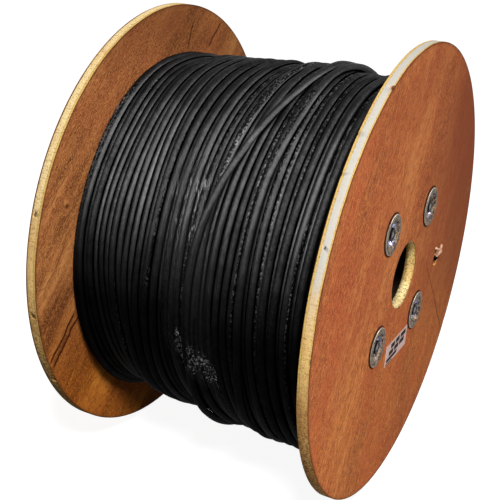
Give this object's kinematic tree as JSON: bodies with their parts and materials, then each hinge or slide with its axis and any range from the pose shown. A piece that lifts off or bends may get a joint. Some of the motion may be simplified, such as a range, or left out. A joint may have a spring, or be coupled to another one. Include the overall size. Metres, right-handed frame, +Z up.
{
  "type": "wooden cable drum",
  "caption": "Small plywood cable drum lying on its rims, wound full of thin black cable, with a spindle bore and tie rods in dished washers.",
  "frame": {"origin": "on the floor, below the middle of the drum", "axes": "+X along the drum's axis towards the flange with the start hole, +Z up"},
  "size_m": [0.2434, 0.3798, 0.3798],
  "materials": {
    "plywood": "reddish hardwood veneer, unfinished, with pale ply edges",
    "fibre_board": "spiral-wound brown board",
    "cable_jacket": "satin black extruded jacket",
    "zinc_steel": "zinc-plated, slightly dulled"
  },
  "bodies": {
    "root": {"flange_left": "plywood", "flange_right": "plywood", "barrel": "fibre_board", "cable_winding": "cable_jacket", "cable_inner_end": "cable_jacket", "tie_rod_1": "zinc_steel", "tie_rod_2": "zinc_steel", "tie_rod_3": "zinc_steel", "tie_rod_4": "zinc_steel", "cup_washer_left_1": "zinc_steel", "cup_washer_left_2": "zinc_steel", "cup_washer_left_3": "zinc_steel", "cup_washer_left_4": "zinc_steel", "nut_left_1": "zinc_steel", "nut_left_2": "zinc_steel", "nut_left_3": "zinc_steel", "nut_left_4": "zinc_steel", "cup_washer_right_1": "zinc_steel", "cup_washer_right_2": "zinc_steel", "cup_washer_right_3": "zinc_steel", "cup_washer_right_4": "zinc_steel", "nut_right_1": "zinc_steel", "nut_right_2": "zinc_steel", "nut_right_3": "zinc_steel", "nut_right_4": "zinc_steel"}
  },
  "joints": []
}
